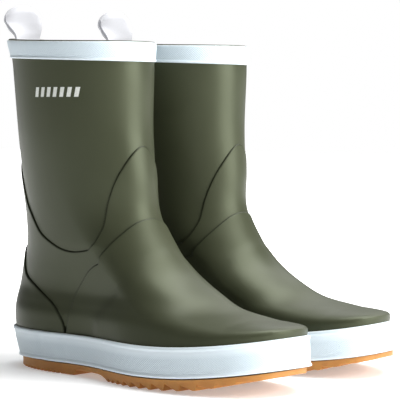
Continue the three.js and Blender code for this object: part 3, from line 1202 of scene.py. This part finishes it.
@dataclass
class Footbed:
    """The loose foam insole: a plate with a shallow heel cup under a knitted top."""

    bottom: float = 17.3
    top: float = 22.6
    inset: float = 11.0
    cup: float = 0.4

    def build(self, side: BootSide, wardrobe: Wardrobe) -> None:
        """Models the footbed and dresses it."""
        columns = 120
        angle = np.linspace(-math.pi, math.pi, columns + 1)
        edge = FORM.point(angle, np.full(columns + 1, 10.0), grow=-self.inset)
        centre = np.array([0.0, 150.0, 0.0])
        flat = 0.94  # share of the way out at which the top begins to round off
        rings = []
        for share in (0, 0.15, 0.3, 0.45, 0.6, 0.75, 0.86, flat, 0.975, 0.99, 1.0):
            drop = 3 * max(share - flat, 0) / 0.06 * 0.3
            rings.append((share, self.top + self.cup * share**4 - drop))
        rings += [(1.0, self.bottom + 1.0)]
        rings += [(share, self.bottom) for share in (0.985, 0.8, 0.4, 0)]
        layers = []
        for share, height in rings:
            ring = centre + (edge - centre) * share
            spine = np.clip(ring[:, 1], 14, 281)
            ring[:, 2] = height + FORM.toe_spring(spine)
            layers.append(ring)
        points = np.stack(layers, axis=1)

        def shape(column: Points, row: Points) -> Patch:
            """Looks the vertices up in the footbed's own rings."""
            spot = points[column, row]
            return Patch(side.place(spot), spot[:, :2])

        obj = shaped_grid(side.name("footbed_foam"), columns, len(rings) - 1, shape, ring=True)
        finish_piece(obj, side, wardrobe.knit, ("footbed",))
        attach(obj, side.name("insert"))


@dataclass
class PullTab:
    """A loop of soft tape whose two ends are sewn inside the back of the mouth."""

    width: float = 34.0
    thickness: float = 0.9
    pivot: float = 286.0  # height of the line where the loop bends
    height: float = 25.6  # of the loop above that line
    belly: float = 5.5  # half the thickness of the loop's round end
    lean: float = 4.5  # how far the loop's round end lies behind the sewn ends
    shift: float = 6.0  # how far both loops stand to the outer side of the heel, on average
    sway: float = 3.5  # the right loop stands further out than that, the left one less far
    twist: float = 15.0  # degrees that both round ends turn the same way
    sewn: tuple[float, ...] = (266.0, 271.0, 276.0, 280.5, 283.5)  # heights of the sewn ends
    inside: float = 3.95  # how far the sewn ends lie inside the form
    droop: float = 7.5  # how far the round end's corners hang
    pinch: float = 0.78  # how far the loop's two layers close at their edges

    def path(self) -> Points:
        """The loop in side view: rows of y, z from one sewn end to the other."""
        low = np.array(self.sewn)
        wall = FORM.measure("heel", low) + self.inside
        middle = self.pivot + self.height - self.belly
        line = list(zip(wall, low))
        line += [(-2.4, 287.0), (-6.2, 291.5), (-10.6, 297.0)]
        for turn in np.radians(np.linspace(0, 180, 9)):
            back, up = self.belly * math.cos(turn), self.belly * math.sin(turn)
            line.append((-self.lean - back, middle + up))
        line += [(0.3, 297.5), (-0.2, 292.0), (-0.1, 287.5)]
        line += list(zip(wall[::-1] + 1.0, low[::-1]))
        return np.array(line)

    def build(self, side: BootSide, wardrobe: Wardrobe) -> None:
        """Models the loop and dresses it."""
        curve, even = evenly_curved(self.path(), 96)
        columns, rows = 24, 96
        w = np.linspace(-1, 1, columns + 1)[None, :]
        above = np.clip((curve[:, 1] - self.pivot) / self.height, 0, 1)[:, None]
        half = self.width / 2 * (0.95 + 0.05 * np.sin(math.pi * above))
        right = 1 if side is BootSide.RIGHT else -1
        free = smoothstep(curve[:, 1:2], 283, 299)
        turn = np.radians(self.twist) * free
        x = w * half * np.cos(turn) + (self.shift + right * self.sway)
        spine = -self.lean * smoothstep(above, 0.0, 0.75)
        pinch = 1 - self.pinch * smoothstep(above, 0.05, 0.4) * np.abs(w) ** 4
        bow = x**2 / 90 * (1 - 0.9 * free) - right * w * half * np.sin(turn)
        droop = self.droop * smoothstep(above, 0.35, 1.0) * np.abs(w) ** 2.8
        wave = 0.4 * np.sin(even[:, None] * 0.16 + 2.1 * w) * smoothstep(above, 0.05, 0.4)
        y = spine + (curve[:, :1] - spine) * pinch + bow + wave
        z = curve[:, 1:2] - droop + 0.3 * wave
        points = np.stack([x, y, z], axis=-1)

        def shape(column: Points, row: Points) -> Patch:
            """Looks the vertices up in the tape's own grid."""
            surface = np.stack([w[0, column] * self.width / 2, even[row]], axis=-1)
            return Patch(side.place(points[row, column]), surface)

        obj = shaped_grid(side.name("tab_loop"), columns, rows, shape)
        give_wall(obj, self.thickness, 0.0)
        nodes = ("pull_tab", "tab_patch")
        finish_piece(obj, side, wardrobe.tape, nodes, rides=False)
        side.name("boot")
        side.name("tab")
        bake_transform(obj)


@dataclass
class PrintedMark:
    """A plain row of slanted bars printed high on the outer side of the leg."""

    start: float = 60.5  # y of the first bar
    pitch: float = 6.7
    bars: int = 7
    width: float = 3.6
    low: float = 232.5
    high: float = 240.5
    slant: float = 2.0

    def build(self, side: BootSide, wardrobe: Wardrobe) -> None:
        """Models the bars and dresses them."""
        for bar in range(self.bars):
            left = self.start + bar * self.pitch

            def shape(column: Points, row: Points, left: float = left) -> Patch:
                """Lays one bar on the leg."""
                z = self.low + (self.high - self.low) * row / 4
                y = left + self.width * column / 3 + self.slant * row / 4
                middle = FORM.measure("middle", z)
                reach = FORM.measure("toe", z) - middle
                back = middle - FORM.measure("heel", z)
                angle = np.arccos((y - middle) / np.where(y >= middle, reach, back))
                spot = FORM.layer(angle, z, np.full(len(z), 0.16))
                return Patch(side.place(spot), np.stack([y, z], axis=-1))

            obj = shaped_grid(side.name(f"printed_bar_{bar + 1}"), 3, 4, shape)
            give_wall(obj, 0.12)
            finish_piece(obj, side, wardrobe.print)


@dataclass
class Boot:
    """One whole boot."""

    side: BootSide
    wardrobe: Wardrobe

    def build(self) -> None:
        """Models every piece of the boot in the order it is made in."""
        for part in (Leg, Overlays, Foxing, Outsole, Footbed, PullTab, PrintedMark):
            part().build(self.side, self.wardrobe)

    def dress_solids(self) -> None:
        """Gives the hidden solids that stay their finishes."""
        finishes = {
            "midsole": self.wardrobe.filler,
            "insole_board": self.wardrobe.board,
            "forefoot_underlay": self.wardrobe.olive,
            "toe_puff": self.wardrobe.olive,
        }
        for node, material in finishes.items():
            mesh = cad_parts[self.side.name(node)].data
            mesh.materials.clear()
            mesh.materials.append(material)


# ---- Studio ------------------------------------------------------------------------------------


@dataclass
class Studio:
    """A pale floor, soft lights and the camera."""

    azimuth: float = -50.63  # degrees, 0 in front of the toes
    distance: float = 1.515
    height: float = 0.2226
    aside: float = -4.865 * MM  # y of the point that the camera goes round
    pitch: float = 2.94  # degrees that it looks down
    lens: float = 159.9
    light_distance: float = 2.0
    softboxes: tuple[tuple[str, float, float, tuple[float, float], float], ...] = (
        ("key_light", 14, 14, (1.4, 1.6), 62),
        ("top_light", 50, 70, (2.0, 1.6), 72),
        ("toe_light", 118, 30, (1.6, 1.0), 8),
    )  # name, azimuth, elevation, size and power
    sky: float = 0.10  # strength of the world as a light

    def build(self) -> None:
        """Sets the floor, the lights, the world and the camera."""
        self.floor()
        self.lights()
        self.camera()
        bpy.context.scene.view_settings.view_transform = "Standard"

    @staticmethod
    def floor() -> None:
        """A large pale floor that glows more behind the boots and far from them."""
        start_clean()
        bpy.ops.mesh.primitive_plane_add(size=12, location=(0, 0, -0.0002))
        plane = bpy.context.active_object
        plane.name = "floor"
        n = Nodes("floor_paint")
        n.drive("Base Color", n.mix(n.noise(2.0, 2.0), (0.86, 0.86, 0.86), (0.89, 0.89, 0.89)))
        place = n.add("ShaderNodeTexCoord").outputs["Object"]
        behind = n.add("ShaderNodeVectorMath", operation="DOT_PRODUCT")
        behind.inputs[1].default_value = (0.773, 0.635, 0)
        n.link(place, behind.inputs[0])
        reach = n.add("ShaderNodeVectorMath", operation="LENGTH")
        n.link(place, reach.inputs[0])
        backdrop = n.remap(behind.outputs["Value"], 0.30, 1.5, (0.15, 1.1))
        far = n.remap(reach.outputs["Value"], 0.30, 1.0, (1.3, 2.6))
        n.drive("Emission Strength", n.math("MAXIMUM", backdrop, far))
        n.set(Roughness=0.9, Specular_IOR_Level=0.1, Emission_Color=(1, 1, 1, 1))
        plane.data.materials.append(n.material)

    def softbox(
        self, name: str, azimuth: float, elevation: float, size: tuple[float, float], power: float
    ) -> None:
        """Adds a rectangular soft light that faces the boots.

        Args:
            name: the light's name.
            azimuth: where it stands, in degrees, as for the camera.
            elevation: its height above the horizon, in degrees.
            size: its width and height in metres.
            power: its power in watts.
        """
        a, e = math.radians(azimuth), math.radians(elevation)
        aim = Vector((0, 0, 0.15))
        out = Vector((math.sin(a) * math.cos(e), -math.cos(a) * math.cos(e), math.sin(e)))
        spot = aim + self.light_distance * out
        light = bpy.data.lights.new(name, "AREA")
        light.shape = "RECTANGLE"
        light.size, light.size_y = size
        light.energy = power
        lamp = bpy.data.objects.new(name, light)
        lamp.location = spot
        lamp.rotation_euler = (aim - spot).to_track_quat("-Z", "Y").to_euler()
        bpy.context.scene.collection.objects.link(lamp)

    def lights(self) -> None:
        """The soft lights, and a sky that lights dimly and looks white."""
        for softbox in self.softboxes:
            self.softbox(*softbox)
        world = bpy.data.worlds.new("pale_sky")
        world.use_nodes = True
        tree = world.node_tree
        dim = tree.nodes["Background"]
        dim.inputs["Color"].default_value = (1, 1, 1, 1)
        dim.inputs["Strength"].default_value = self.sky
        white = tree.nodes.new("ShaderNodeBackground")
        white.inputs["Color"].default_value = (1, 1, 1, 1)
        seen = tree.nodes.new("ShaderNodeLightPath")
        mix = tree.nodes.new("ShaderNodeMixShader")
        tree.links.new(seen.outputs["Is Camera Ray"], mix.inputs[0])
        tree.links.new(dim.outputs[0], mix.inputs[1])
        tree.links.new(white.outputs[0], mix.inputs[2])
        tree.links.new(mix.outputs[0], tree.nodes["World Output"].inputs["Surface"])
        bpy.context.scene.world = world

    def camera(self) -> None:
        """A camera that looks at the pair from the front of the right boot's outer side."""
        data = bpy.data.cameras.new("camera")
        data.lens = self.lens
        data.sensor_width = 36
        camera = bpy.data.objects.new("camera", data)
        a = math.radians(self.azimuth)
        camera.location = (
            math.sin(a) * self.distance,
            -math.cos(a) * self.distance + self.aside,
            self.height,
        )
        camera.rotation_euler = (math.radians(90 - self.pitch), 0, a)
        bpy.context.scene.collection.objects.link(camera)
        bpy.context.scene.camera = camera


def main() -> None:
    """Builds the studio and both boots, and logs each piece's face count."""
    logging.basicConfig(level=logging.INFO, format="%(name)s %(message)s")
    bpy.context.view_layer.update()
    Studio().build()
    wardrobe = Wardrobe()
    for side in BootSide:
        boot = Boot(side, wardrobe)
        boot.build()
        boot.dress_solids()
    log.info("done")


if __name__ == "__main__":
    main()
